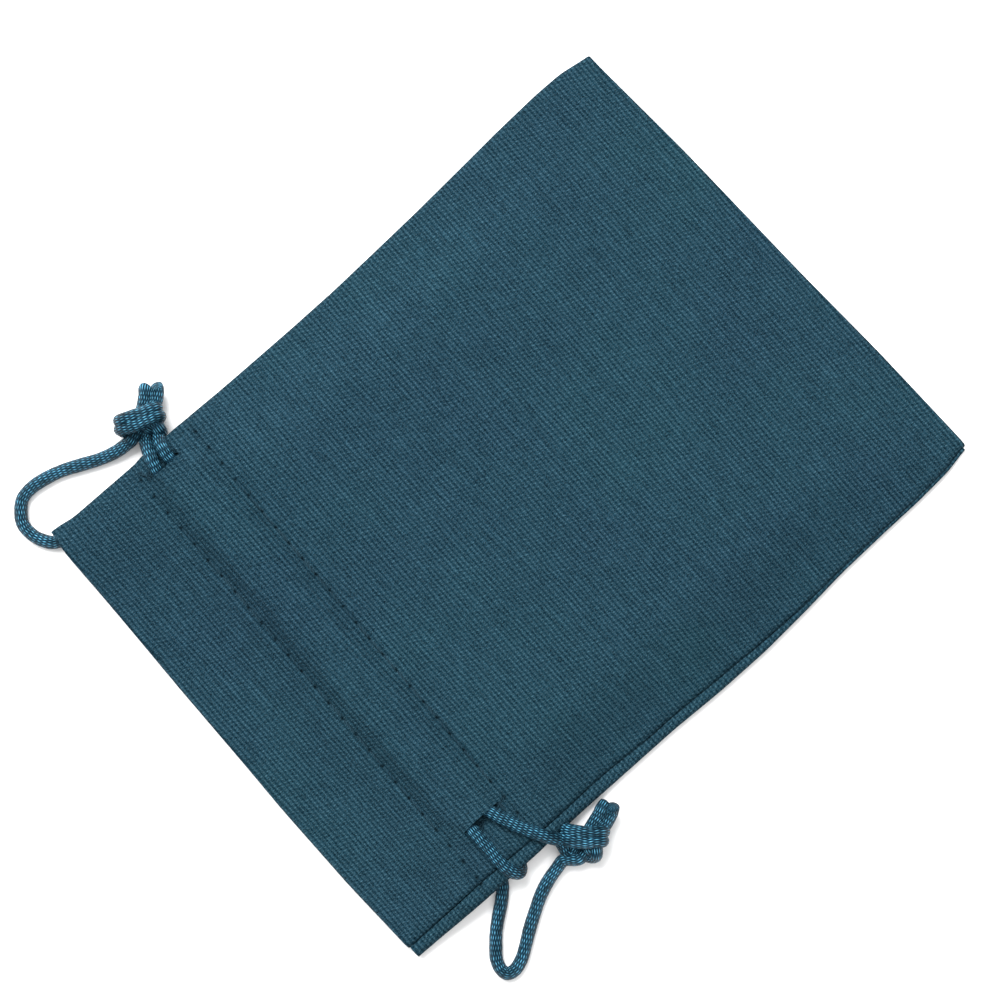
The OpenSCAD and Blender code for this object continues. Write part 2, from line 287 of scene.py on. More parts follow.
def canvas_material(name, gain):
    """Plain-woven canvas: fine warp floats over thicker weft, uneven yarns, and stitched rows; painted shade
    in the yarns' gaps, at the needle holes and along the rows, and painted light on the yarns' tops.
    """
    s = Shader(name)
    x, y = (UV_SCALE * value for value in s.lay())
    height, warp_number, weft_number = weave(s, x, y)
    each_grain = s.speckle(s.vector(warp_number, weft_number))
    each_warp = s.noise(s.vector(warp_number * 0.73, y * 0.05), 1.0)
    each_weft = s.noise(s.vector(x * 0.035, weft_number * 0.61), 1.0)
    slub = s.noise(s.vector(x * 0.10, y * 0.9, 3.0), 1.0, 3.0)
    patch = s.noise(s.vector(x, y, 11.0), 0.045, 3.0)
    fuzz = s.noise(s.vector(x, y, 5.0), 5.0, 3.0)
    fleck = s.noise(s.vector(x, y * 1.25, 13.0), 5.0, 0.0)
    fine_weft = s.noise(s.vector(x * 0.18, y * 3.2, 9.0), 1.0, 3.0)
    tone = (1 + 0.30 * each_grain + 0.12 * each_warp + 0.18 * each_weft + 0.06 * slub + 0.16 * patch
            + 0.40 * fuzz + 1.25 * fleck + 0.50 * fine_weft) * (1 - hem_shade(s, x, y))
    greener = s.filtered(s.ramp(height, CANVAS_SHADE_AND_LIGHT_COLOURS), (0.85, 1.02, 0.88, 1), 0.2 + 0.6 * patch)
    s.bump(height + 0.12 * fuzz, WEAVE_BUMP)
    return s.finish(s.brightened(greener, tone * gain), 0.92 - 0.10 * height, Specular_IOR_Level=0.10,
                    Specular_Tint=(0.25, 0.70, 1.0, 1.0))


BRAID_STRANDS = 16  # that run each way round the cord
BRAID_PITCH = 1.7  # along the cord, from one crossing to the next but one
BRAID_BUMP = 0.00016  # metres
PLY_PITCH = 0.9  # of the sewing thread's twist
PLY_BUMP = 0.00005
# The cord's colour from the gaps between its strands to their crowns: painted shade in the gaps, and a
# painted highlight on the crowns.
SATIN_SHADE_AND_HIGHLIGHT_COLOURS = ((0.0, (0.0003, 0.003, 0.007)), (0.50, (0.003, 0.016, 0.030)),
                 (0.78, (0.014, 0.060, 0.098)), (1.0, (0.080, 0.270, 0.390)))
# The thread's colour from the grooves of its twist to the tops of its plies: painted shade in the grooves,
# and painted light on the tops.
THREAD_SHADE_AND_LIGHT_COLOURS = ((0.0, (0.001, 0.008, 0.015)), (1.0, (0.012, 0.042, 0.062)))


def braid_height(angle_share, along):
    """Height of the cord's braid from 0 to 1, the same as its material's."""
    a = angle_share * BRAID_STRANDS + along / BRAID_PITCH
    b = angle_share * BRAID_STRANDS - along / BRAID_PITCH
    over = (np.floor(a) + np.floor(b)) % 2
    hump_a = np.sin(np.pi * (a - np.floor(a)))
    hump_b = np.sin(np.pi * (b - np.floor(b)))
    return np.where(over > 0.5, hump_a * (0.4 + 0.6 * hump_b), hump_b * (0.4 + 0.6 * hump_a))


def cord_material():
    """Braided satin cord: shining strands that cross each other, with painted highlights on their crowns and
    in lengthwise streaks, and painted shade between them.
    """
    s = Shader("satin_cord")
    turn_share, along = s.lay()
    a = turn_share * BRAID_STRANDS + along * (UV_SCALE / BRAID_PITCH)
    b = turn_share * BRAID_STRANDS - along * (UV_SCALE / BRAID_PITCH)
    over = s.math("PINGPONG", math.floor(a) + math.floor(b), 1.0)
    hump_a = s.hump(a)
    hump_b = s.hump(b)
    height = hump_a * (0.4 + 0.6 * hump_b) * over + hump_b * (0.4 + 0.6 * hump_a) * (1 - over)
    fibre = s.noise(s.vector(turn_share * 70, along * 90), 1.0)
    # Painted satin sheen: soft lengthwise streaks of lighter and darker tone along the cord.
    painted_sheen_streak = s.noise(s.vector(turn_share * 4, along * 26, 4.0), 1.0)
    each = s.speckle(s.vector(math.floor(a), math.floor(b)))
    tone = 1 + 0.45 * fibre + 0.95 * painted_sheen_streak + each
    s.bump(height + 0.22 * fibre, BRAID_BUMP)
    return s.finish(s.brightened(s.ramp(height, SATIN_SHADE_AND_HIGHLIGHT_COLOURS), tone), 0.44 + 0.10 * fibre,
                    Specular_IOR_Level=0.28, Specular_Tint=(0.35, 0.75, 1.0, 1.0))


def thread_material():
    """Twisted sewing thread in the canvas's colour, with painted shade in the grooves of its twist and
    painted light on its plies.
    """
    s = Shader("sewing_thread")
    turn_share, along = s.lay()
    ply = s.hump(turn_share * 2 + along * (UV_SCALE / PLY_PITCH))
    fibre = s.noise(s.vector(turn_share * 12, along * 500), 1.0)
    s.bump(ply + 0.3 * fibre, PLY_BUMP)
    return s.finish(s.brightened(s.ramp(ply, THREAD_SHADE_AND_LIGHT_COLOURS), 1 + 0.5 * fibre), 0.8 - 0.1 * ply,
                    Specular_IOR_Level=0.15)


canvas = canvas_material("canvas", 1.0)
canvas_inside = canvas_material("canvas_inside", 0.85)     # a little darker, as it lies in shade
satin = cord_material()
thread = thread_material()


# ---- cords

CORD_R = 1.1
CORD_STEP = 0.16  # between the rings of a cord
CORD_SIDES = 28
TIP_SHRINK = 0.75  # how far a cut end is drawn in, 1 for a point


def frames_along(line):
    """Two directions across a curve at each of its points, which turn with it as little as they can."""
    tangent = np.gradient(line, axis=0)
    tangent /= np.linalg.norm(tangent, axis=1)[:, None]
    start = np.cross(tangent[0], (0.0, 0.0, 1.0))
    if np.linalg.norm(start) < 0.2:
        start = np.cross(tangent[0], (0.0, 1.0, 0.0))
    side = np.zeros_like(line)
    side[0] = start / np.linalg.norm(start)
    for i in range(1, len(line)):
        moved = side[i - 1] - np.dot(side[i - 1], tangent[i]) * tangent[i]
        side[i] = moved / np.linalg.norm(moved)
    return side, np.cross(side, tangent)


def tube(name, points, material, radius=CORD_R, around=CORD_SIDES, step=CORD_STEP, relief=0.05, tip=0.0,
         flat=None, wobble=0.02):
    """A tube along a smooth curve, and that curve. radius and flat, how flat the tube is, may be tables of
    shares of its length and values. relief is the braid's depth as a share of the radius, and tip is how long
    its drawn-in last end is."""
    line = spline(points, step)
    count = len(line)
    side, up = frames_along(line)
    along = np.r_[0, np.cumsum(np.linalg.norm(np.diff(line, axis=0), axis=1))]
    share = np.arange(around) / around
    angle = 2 * math.pi * share
    rise = braid_height(share[None, :], along[:, None]) - 0.6
    if isinstance(radius, tuple):
        radius = np.interp(along / along[-1], *radius)[:, None]
    r = radius * (1 + relief * rise) * (1 + wobble * np.sin(along * 0.9)[:, None])
    if tip:
        drawn_in = (1 - np.clip((along[-1] - along) / tip, 0, 1)) ** 2 * TIP_SHRINK
        r = r * np.sqrt(1 - drawn_in)[:, None]
    across = np.ones(count) if flat is None else np.interp(along / along[-1], *flat)
    ring = (line[:, None] + r[..., None] * (np.cos(angle)[None, :, None] * side[:, None]
            + np.sin(angle)[None, :, None] * (across[:, None] * up)[:, None]))
    points_out = np.vstack([ring.reshape(-1, 3), line[:1], line[-1:]])
    first, last = count * around, count * around + 1
    i, k = np.meshgrid(np.arange(count - 1) * around, np.arange(around), indexing="ij")
    n = (k + 1) % around
    faces = np.stack([i + k, i + around + k, i + around + n, i + n], -1).reshape(-1, 4).tolist()
    tail = (count - 1) * around
    for k in range(around):
        n = (k + 1) % around
        faces.append((first, k, n))
        faces.append((last, tail + n, tail + k))
    uv = np.zeros((len(points_out), 2))
    uv[:count * around, 0] = np.tile(share, count)
    uv[:count * around, 1] = np.repeat(along, around) / UV_SCALE
    uv[last] = (0, along[-1] / UV_SCALE)
    piece = make_object(name, points_out, faces, uv, material)
    wrap_seam(piece)
    return piece, line


def wrap_seam(piece):
    """Gives the last strip of faces round a tube the coordinate 1 instead of 0 at its far side."""
    mesh = piece.data
    layer = mesh.uv_layers["lay"]
    uv = np.zeros(len(mesh.loops) * 2, np.float32)
    layer.data.foreach_get("uv", uv)
    uv = uv.reshape(-1, 2)
    for face in mesh.polygons:
        own = uv[face.loop_start:face.loop_start + face.loop_total]
        if own[:, 0].max() - own[:, 0].min() > 0.5:
            own[own[:, 0] < 0.5, 0] += 1
    layer.data.foreach_set("uv", uv.ravel())


# ---- shape of the cloth

CLOTH_T = 0.5
# The outline: places of each side along the pouch, and of the fold and the mouth's edge across it.
left_x = smooth_table([
    (-62.5, -45.9), (-60.4, -46.3), (-58.8, -46.2), (-56, -45.6), (-44, -45.4), (-29, -45.4), (-9, -45.1),
    (1, -45.1), (11, -45.4), (20, -45.7), (30, -46.2), (39, -46.7), (48, -47), (53.5, -46.9), (59, -46)], 0.8)
right_x = smooth_table([
    (-61.4, 46.4), (-54, 46.5), (-5, 46.6), (5, 47), (15, 47), (24, 46.5), (33, 45.8), (43, 45.5),
    (50, 45.4), (57.6, 45), (61.6, 44.2)], 1.0)
fold_y = smooth_table([
    (-46, 58.8), (-23.6, 60.1), (3.9, 61), (22.4, 61.9), (40.5, 62.35), (43.4, 62.4)], 1.5)
mouth_y = smooth_table([
    (-46.5, -59.9), (-42.8, -60.4), (-30, -61), (-13, -61.6), (4.5, -62), (13, -62.3), (30, -62.4),
    (44.5, -62.0)], 1.5)
# How much of the back cloth shows on the front along the right side.
strip_w = smooth_table([
    (-61.3, 1.9), (-46, 2.4), (-27, 1.9), (-19, 2.0), (-9, 1.5), (0, 1.6), (8, 1.5), (15, 1.2), (21, 0.8),
    (28, 0.45), (36, 0.3), (62, 0.3)], 1.5)
BODY_LENGTH = 94  # of the tables below, from the upper stitched row to the fold
# Height of the front cloth there, along the middle of the pouch and along its side seams.
along_middle = smooth_table([
    (0, 5.0), (6.6, 5.75), (40, 5.95), (58, 5.15), (78, 3.4), (90, 1.5), (BODY_LENGTH, 0.9)], 2.5)
along_seam = smooth_table([(0, 5.0), (8.6, 2.05), (87, 1.95), (BODY_LENGTH, 0.85)], 1.6)

LEFT_SLIT = (-42.0, -42.0, -35.5)  # place across, and its ends along the pouch
RIGHT_SLIT = (36.0, -42.2, -34.7)
SLITS = ((LEFT_SLIT, 1), (RIGHT_SLIT, -1))  # with the way to the pouch's middle
# Where cords pass under the back cloth, and how high they hold it.
LIFT_PATHS = [[(-42.5, -40.2), (-43.9, -43.5), (-43.6, -52), (-44.8, -61)], [(-47, -36.3), (-42.5, -36.3)],
              [(48, -39.3), (37, -38.7)], [(37, -41.7), (45, -42.6), (48.7, -45.3)]]
LIFT = 2.72
LAYERS = 2.1  # from the middle of the back cloth to the middle of the front cloth in the hem
ROW_Z = 5.0  # height of the front cloth at the upper stitched row
BACK_Z = 0.27
MOUTH_R = 0.3
HEADER_SLOPE = 12  # how far the front cloth takes to come down from the channel to the mouth
DOME = 1.8  # how far the cords push the channel's outer cloth up
DOME_SIDE = 3.6
SAG = 0.7  # how far its turned-in end sags
BACK_BULGE = 2.3  # how far the cords push the back's turned-in end up
CHANNEL_SIDE = 2.5
SEAM_START = 45.8  # from the middle, where the front cloth starts to rise from a side seam
SEAM_RISE = 15.5
FRONT_DIP = 0.20  # of the cloth under the stitches
BACK_DIP = 0.22
PUCKER = 0.07  # of the cloth between stitches
ROW_END = 35  # from the middle, where the stitched rows end
UNEVEN = 0.13
GROOVE_W = 1.1  # each side of the seam that shows on the front
GROOVE_DEPTH = 0.95
SEAM_GAP = 0.18  # half the gap between the two cloths at that seam
CORNER_DROOP = 0.55  # how far the rolled side reaches past the mouth's edge
MOUTH_EASE = 1.2  # how soon behind the mouth's edge that fades


def across_hem(x, y):
    """Distance from the hem's middle line, towards the fold."""
    return math.cos(SKEW) * (y - HEM_Y) - math.sin(SKEW) * x


def hem_to_y(x, v):
    return HEM_Y + (v + math.sin(SKEW) * x) / math.cos(SKEW)


def gape(slit, y):
    """How far open a slit is at y, from 0 to 1."""
    middle, half = (slit[1] + slit[2]) / 2, (slit[2] - slit[1]) / 2
    return np.sqrt(np.clip(1 - ((y - middle) / half) ** 2, 0, 1))


def inner_share(x, y, inner):
    """1 between the slits, where the channel's cloth covers the cords, and 0 beyond them."""
    share = np.ones_like(x)
    for slit, way in SLITS:
        opened = gape(slit, y)
        depth = (x - slit[0]) * way
        within = 0.5 + 0.5 * opened
        within = within + (1 - within) * smoothstep(depth / 4.5)
        within = within + 0.14 * opened * np.exp(-np.maximum(depth, 0) / 2)
        beyond = 0.5 * (1 - opened) * (1 - smoothstep(-depth / 3.0))
        beyond = beyond - 0.35 * opened * np.exp(-np.maximum(-depth, 0) / 1.5)
        near = (x < 0) == (way > 0)
        share = np.where(near, np.where(inner, within, beyond), share)
    return share


def path_distance(x, y, path):
    best = np.full(x.shape, 1e9)
    for (ax, ay), (bx, by) in zip(path[:-1], path[1:]):
        dx, dy = bx - ax, by - ay
        t = np.clip(((x - ax) * dx + (y - ay) * dy) / (dx * dx + dy * dy), 0, 1)
        best = np.minimum(best, np.hypot(x - ax - t * dx, y - ay - t * dy))
    return best


def lift(x, y, share):
    """How far the back cloth is held off the table by the cords under it."""
    v = across_hem(x, y)
    near = np.min([path_distance(x, y, path) for path in LIFT_PATHS], axis=0)
    reach = 9 - 4.5 * smoothstep((v + 2) / 6)
    raised = LIFT * np.exp(-(np.maximum(0, near - 1.4) / reach) ** 2)
    channel = smoothstep((v + 9) / 4) * np.clip(share, 0, 1)
    return raised * (1 - channel)


def ripple(x, y):
    """Soft unevenness of the cloth, in parts of a mm."""
    return (np.sin(0.131 * x + 0.092 * y + 0.6) * np.sin(0.083 * y - 0.047 * x + 1.9)
            + 0.6 * np.sin(0.217 * x - 0.118 * y + 2.2) * np.sin(0.151 * y + 0.101 * x)
            + 0.35 * np.sin(0.39 * y + 0.06 * x + 0.8) * np.sin(0.11 * x + 0.4))


def back_z(x, y, inner):
    """Middle of the back cloth."""
    share = inner_share(x, y, inner)
    soft = 0.05 * (1 + np.sin(0.19 * x + 0.7) * np.sin(0.14 * y + 0.3))
    return BACK_Z + soft * 0.6 + lift(x, y, share)


def row_dip(v):
    """1 under the middle of a stitched row, and 0 away from it."""
    return np.exp(-((np.abs(v) - ROW) / 0.55) ** 2)


def in_channel(v, side):
    """1 in the channel between the stitched rows and 0 outside it, easing over side mm."""
    return smoothstep((ROW - np.abs(v)) / side)


def top_z(x, y, inner, facing=False):
    """Middle of the front's outer cloth, or of its turned-in end."""
    v = across_hem(x, y)
    share = inner_share(x, y, inner)
    header = BACK_Z + LAYERS + lift(x, y, share * 0)
    base = ROW_Z + (header - ROW_Z) * smoothstep((-2.5 - v) / HEADER_SLOPE)
    if facing:
        return base - 2 * MOUTH_R - SAG * in_channel(v, CHANNEL_SIDE) * np.minimum(share, 1)
    dome = DOME * in_channel(v, DOME_SIDE) * share
    way = (y - hem_to_y(x, ROW)) / (fold_y(x) - hem_to_y(x, ROW)) * BODY_LENGTH
    seam = along_seam(way)
    body = seam + (along_middle(way) - seam) * smoothstep((SEAM_START - np.abs(x)) / SEAM_RISE)
    pucker = PUCKER * np.cos(2 * math.pi * x / STITCH_PITCH) * np.exp(-((np.abs(v) - ROW) / 1.6) ** 2)
    uneven = UNEVEN * ripple(x, y) * smoothstep((44 - np.abs(x)) / 10) * smoothstep((58 - y) / 14)
    front = np.where(v < ROW, base + dome, body)
    return front - FRONT_DIP * row_dip(v) + pucker * (np.abs(x) < ROW_END) + uneven


def back_facing_z(x, y, inner):
    """Middle of the back's turned-in end, which lies over the cords in the channel."""
    share = np.clip(inner_share(x, y, inner), 0, 1)
    return back_z(x, y, inner) + 2 * MOUTH_R + BACK_BULGE * in_channel(across_hem(x, y), CHANNEL_SIDE) * share


def slit_shift(x, y, inner):
    """How far the lips of the slits are pulled apart across the pouch."""
    moved = np.zeros_like(x)
    for slit, way in SLITS:
        depth = (x - slit[0]) * way
        near = (x < 0) == (way > 0)
        pulled = np.where(inner, 0.25 * np.exp(-depth / 2), -0.9 * np.exp(depth / 1.6)) * gape(slit, y)
        moved = np.where(near, moved + way * pulled, moved)
    return moved


def edge_radius(x, y):
    """Radius of the round that the cloth makes at a side of the pouch."""
    beyond = np.zeros(np.shape(x), bool)
    return (top_z(x, y, beyond) - back_z(x, y, beyond)) / 2


def round_drop(share):
    """How far a round edge of height 1 has dropped: 0 where its curve starts, and 1 at its end."""
    return 1 - np.sqrt(1 - share ** 2)


# ---- cloth meshes

HEM_END = 9.0  # how far past the hem's middle line its finer rows reach
FOLD_R = 0.38
FRONT_FACING_V = 6.8  # where the turned-in ends end, from the hem's middle line
BACK_FACING_V = 7.0
BACK_SHORTER = 0.35  # how far the back's mouth lies behind the front's
CUT_HALF = 0.03  # half the width of a slit's cut
# Where the grids' outer columns stand before they are moved to the outline.
FRONT_LEFT = -45.0
FRONT_RIGHT = 44.4
BACK_LEFT = -43.15
BACK_RIGHT = 45.3
LEFT_WRAPS = 12  # columns round the left side, the first of them under the pouch
UNDER_WRAPS = 4
UNDER_W = 1.35  # how far those reach in under the pouch
BUTT_GAP = 0.1  # from there to the back cloth
RIGHT_WRAPS = 26  # columns round the right side and up to the seam


def cloth(name, place, flat, keep, cuts, material):
    """A sheet of cloth of real thickness on a grid of middle points. flat is each point's place in the flat
    cloth, keep marks the grid's cells that are cloth, and cuts are columns after which it may be slit."""
    runs = np.split(np.arange(place.shape[0]), [cut + 1 for cut in cuts])
    along_i = np.concatenate([np.gradient(place[run], axis=0) for run in runs], axis=0)
    along_j = np.gradient(place, axis=1)
    normal = np.cross(along_i, along_j)
    normal /= np.maximum(np.linalg.norm(normal, axis=2), 1e-9)[..., None]
    ni, nj = place.shape[:2]
    number = np.arange(ni * nj).reshape(ni, nj)
    a, b = number[:-1, :-1][keep], number[1:, :-1][keep]
    c, d = number[1:, 1:][keep], number[:-1, 1:][keep]
    top = np.stack([a, b, c, d], 1)
    under = top[:, ::-1] + ni * nj
    edges = np.concatenate([top[:, [0, 1]], top[:, [1, 2]], top[:, [2, 3]], top[:, [3, 0]]])
    key = edges[:, 0] * (ni * nj) + edges[:, 1]
    back_key = edges[:, 1] * (ni * nj) + edges[:, 0]
    rim = edges[~np.isin(key, back_key)]
    walls = np.stack([rim[:, 1], rim[:, 0], rim[:, 0] + ni * nj, rim[:, 1] + ni * nj], 1)
    points = np.concatenate([(place + normal * CLOTH_T / 2).reshape(-1, 3),
                             (place - normal * CLOTH_T / 2).reshape(-1, 3)])
    uv = np.tile(flat.reshape(-1, 2) / UV_SCALE, (2, 1))
    used, faces = np.unique(np.concatenate([top, under, walls]), return_inverse=True)
    rank = {int(n): i for i, n in enumerate(used)}
    sharp = [(rank[int(p)], rank[int(q)]) for p, q in np.concatenate([rim, rim + ni * nj])]
    return make_object(name, points[used], faces.reshape(-1, 4).tolist(), uv[used], material, sharp)


def hem_rows(hem_count, body_count, fold_count):
    """A sheet's rows from its turned-in end, round the mouth and on to the fold: the kind of each, and its
    place along its stretch, as a share or an angle."""
    stretches = (("facing", np.linspace(0, 1, 46)[:-1]),
                 ("mouth", np.linspace(0, math.pi, 9)),
                 ("hem", np.linspace(0, 1, hem_count)[1:]),
                 ("body", 1 - (1 - np.linspace(0, 1, body_count)[1:]) ** 1.15),
                 ("fold", np.linspace(0, math.pi, fold_count)[1:]))
    kinds = np.array([kind for kind, shares in stretches for _ in shares])
    return kinds, np.concatenate([shares for _, shares in stretches])


def row_places(kinds, shares, x, mouth, facing_v):
    """Y of each row at each column, and the flat length along the cloth there."""
    start = mouth + MOUTH_R
    turn_y = hem_to_y(x, HEM_END)
    end = fold_y(x) - FOLD_R
    facing_y = hem_to_y(x, facing_v)
    y = np.zeros((len(x), len(kinds)))
    flat = np.zeros_like(y)
    for j, (kind, t) in enumerate(zip(kinds, shares)):
        if kind == "facing":
            y[:, j] = facing_y + (start - facing_y) * t
            flat[:, j] = start - math.pi * MOUTH_R - (y[:, j] - start)
        elif kind == "mouth":
            y[:, j] = start - MOUTH_R * math.sin(t)
            flat[:, j] = start - (math.pi - t) * MOUTH_R
        elif kind == "hem":
            y[:, j] = flat[:, j] = start + (turn_y - start) * t
        elif kind == "body":
            y[:, j] = flat[:, j] = turn_y + (end - turn_y) * t
        else:
            y[:, j] = end + FOLD_R * math.sin(t)
            flat[:, j] = end + FOLD_R * t
    return y, flat


def slit_cells(column, y, slit, kinds):
    """The cells to leave out for a slit, and the column before it."""
    cut = int(np.searchsorted(column, slit[0])) - 1
    gone = np.zeros((len(column) - 1, y.shape[1] - 1), bool)
    centre = (y[cut, :-1] + y[cut, 1:]) / 2
    gone[cut] = (centre > slit[1]) & (centre < slit[2]) & np.isin(kinds[:-1], ("hem", "body"))
    return gone, cut


def spaced(*stops):
    """Even steps between stops, given as place, step, place, step, ..., place."""
    parts = [np.array([stops[0]], float)]
    for a, step, b in zip(stops[0:-2:2], stops[1:-1:2], stops[2::2]):
        parts.append(np.linspace(a, b, max(2, int(math.ceil(abs(b - a) / step)) + 1))[1:])
    return np.concatenate(parts)


def roll_left(place, flat_x, held_y, low, radius, inner, from_mouth):
    """Rolls the front cloth's first columns round the pouch's left side and a little way in under it."""
    edge, edge_r = place[LEFT_WRAPS], radius[LEFT_WRAPS]
    mid_x, mid_top, mid_low = edge[:, 0], edge[:, 2], low[LEFT_WRAPS]
    angles = np.linspace(-math.pi / 2, math.pi / 2, LEFT_WRAPS - UNDER_WRAPS + 1)
    for i in range(LEFT_WRAPS):
        if i < UNDER_WRAPS:
            reach = UNDER_W * (UNDER_WRAPS - i) / UNDER_WRAPS
            place[i, :, 0] = mid_x + reach
            place[i, :, 2] = back_z(mid_x + reach, held_y[LEFT_WRAPS], inner[LEFT_WRAPS])
            flat_x[i] = mid_x - math.pi * edge_r - reach
        else:
            a = angles[i - UNDER_WRAPS]
            place[i, :, 0] = mid_x - edge_r * math.cos(a)
            place[i, :, 2] = mid_low + (mid_top - mid_low) * (1 + math.sin(a)) / 2
            flat_x[i] = mid_x - edge_r * (math.pi / 2 - a)
    place[:LEFT_WRAPS, :, 1] -= MOUTH_R * np.exp(-np.maximum(from_mouth[:LEFT_WRAPS], 0) / MOUTH_EASE)


def roll_right(place, flat_x, centre, radius, from_mouth):
    """Rolls the back cloth's last columns round the pouch's right side and over its front, up to the seam."""
    base = len(place) - RIGHT_WRAPS - 1
    x, y, low = place[base].T
    centre, radius = centre[base], radius[base]
    shown = strip_w(y)
    seam_cos = np.clip((right_x(y) - shown - centre) / radius, -1, 1)
    shown = np.maximum(shown, 0.05)
    last = np.where(shown >= radius, math.pi / 2, np.arccos(seam_cos))
    arc = radius * (last + math.pi / 2)
    whole = arc + np.maximum(0, shown - radius)
    past_mouth = CORNER_DROOP * np.exp(-np.maximum(from_mouth[base], 0) / MOUTH_EASE)
    for n in range(1, RIGHT_WRAPS + 1):
        share = n / RIGHT_WRAPS
        s = share * whole - SEAM_GAP
        a = np.minimum(np.clip(s / radius, 0, None) - math.pi / 2, last)
        to_seam = np.clip((whole - s) / GROOVE_W, 0, 1)
        place[base + n, :, 0] = centre + radius * np.cos(a) - np.maximum(0, s - arc)
        place[base + n, :, 1] -= past_mouth * min(1, share * 4)
        place[base + n, :, 2] = low + radius * (1 + np.sin(a)) - GROOVE_DEPTH * round_drop(1 - to_seam)
        flat_x[base + n] = flat_x[base] + s


def front_half(name, side):
    """Half of the front cloth with its turned-in end: from the middle to its side seam."""
    kinds, shares = hem_rows(84, 96, 9)
    if side < 0:
        slit = LEFT_SLIT
        main = np.r_[spaced(FRONT_LEFT, 0.35, slit[0] - 1.5, 0.22, slit[0] - CUT_HALF),
                     spaced(slit[0] + CUT_HALF, 0.22, slit[0] + 1.5, 0.45, -30, 0.6, 0)]
        column = np.r_[np.full(LEFT_WRAPS, main[0]), main]
    else:
        slit = RIGHT_SLIT
        lip = FRONT_RIGHT - np.array([0.5, 0.4, 0.3, 0.2, 0.12, 0.05, 0.0])
        column = np.r_[spaced(0, 0.6, 28, 0.45, slit[0] - 1.5, 0.22, slit[0] - CUT_HALF),
                       spaced(slit[0] + CUT_HALF, 0.22, slit[0] + 1.5, 0.45, 43.5), lip]
    y, flat_y = row_places(kinds, shares, column, mouth_y(column), FRONT_FACING_V)
    x = np.repeat(column[:, None], len(kinds), 1)
    inner = np.abs(x) < abs(slit[0])
    held_y = np.minimum(y, (fold_y(column) - FOLD_R)[:, None])
    if side < 0:
        edge = left_x(y)
        radius = edge_radius(edge + 1, held_y)
        x = x + (edge + radius - FRONT_LEFT) * np.clip(1 - (x - FRONT_LEFT) / 2.4, 0, 1) ** 2
    else:
        edge = right_x(y)
        radius = edge_radius(edge - 1, held_y)
        seam = edge - strip_w(y) - SEAM_GAP
        x = x + (seam - FRONT_RIGHT) * np.clip(1 - (FRONT_RIGHT - x) / 6, 0, 1)
    flat_x = x.copy()
    is_facing, is_mouth, is_fold = ((kinds == kind)[None, :] for kind in ("facing", "mouth", "fold"))
    outer = ~(is_facing | is_mouth)
    start = (mouth_y(column) + MOUTH_R)[:, None] + 0 * y
    low = back_z(x, held_y, inner)
    z = np.where(is_facing, top_z(x, y, inner, facing=True), top_z(x, held_y, inner))
    z = np.where(is_mouth, top_z(x, start, inner, facing=True) + MOUTH_R * (1 - np.cos(shares)), z)
    if side > 0:
        past = np.clip((x - edge + radius) / radius, 0, 1)
        to_seam = np.clip((seam - x) / GROOVE_W, 0, 1)
        z = np.where(outer, z - radius * round_drop(past), z)
        z = np.where(is_facing, z, z - GROOVE_DEPTH * round_drop(1 - to_seam))
    z = np.where(is_fold, low + (z - low) * (1 + np.cos(shares)) / 2, z)
    x = np.where(outer, x + slit_shift(x, y, inner), x)
    place = np.stack([x, y, z], 2)
    keep = np.ones((len(column) - 1, len(kinds) - 1), bool)
    if side < 0:
        roll_left(place, flat_x, held_y, low, radius, inner, y - start)
        keep[:LEFT_WRAPS, np.isin(kinds[1:], ("facing", "mouth"))] = False
        keep[:UNDER_WRAPS, kinds[:-1] == "fold"] = False
    gone, cut = slit_cells(column, y, slit, kinds)
    return cloth(name, place, np.stack([flat_x, flat_y], 2), keep & ~gone, [cut], canvas)


